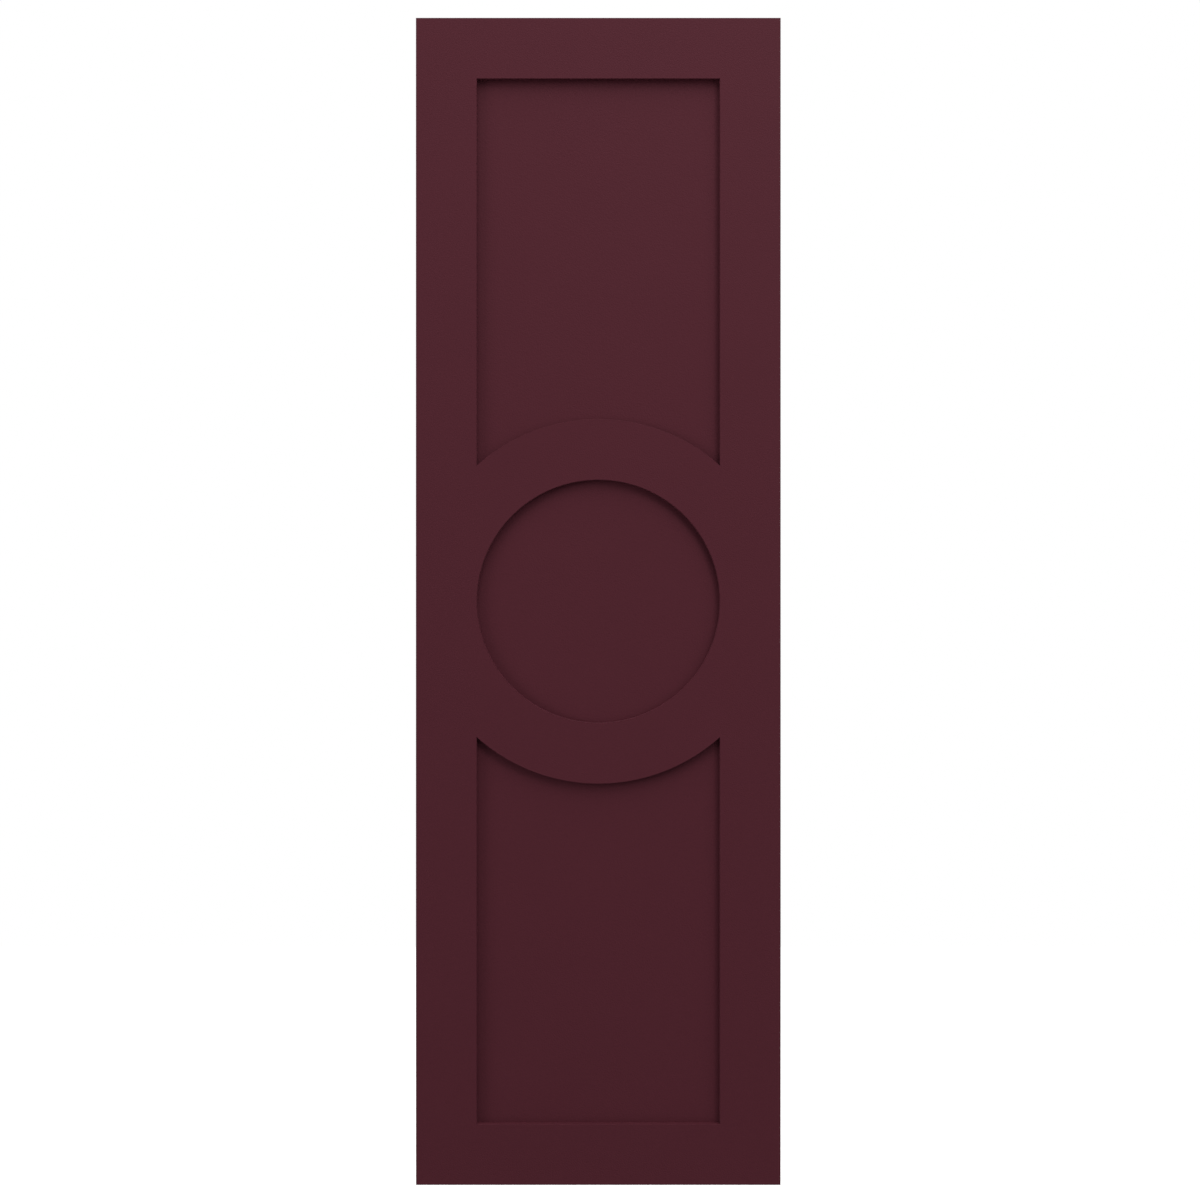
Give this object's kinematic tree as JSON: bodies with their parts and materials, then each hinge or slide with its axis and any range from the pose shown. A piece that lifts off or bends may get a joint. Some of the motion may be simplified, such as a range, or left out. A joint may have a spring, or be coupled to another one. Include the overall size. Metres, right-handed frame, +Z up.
{
  "type": "exterior shutter",
  "caption": "Fixed exterior shutter: a flat frame of stiles and rails with a ring at mid height, and thin flat panels set back from the face.",
  "frame": {"origin": "middle of the bottom edge of the back, on the wall plane", "axes": "+Z up, the face looks along -Y, +Y goes into the wall, +X to the right as seen from the front"},
  "size_m": [0.381, 0.0254, 1.2192],
  "materials": {
    "frame_finish": "satin",
    "panel_finish": "satin"
  },
  "bodies": {
    "root": {"left_stile": "frame_finish", "right_stile": "frame_finish", "top_rail": "frame_finish", "bottom_rail": "frame_finish", "ring_upper_arch": "frame_finish", "ring_lower_arch": "frame_finish", "upper_panel": "panel_finish", "lower_panel": "panel_finish", "round_panel": "panel_finish"}
  },
  "joints": []
}
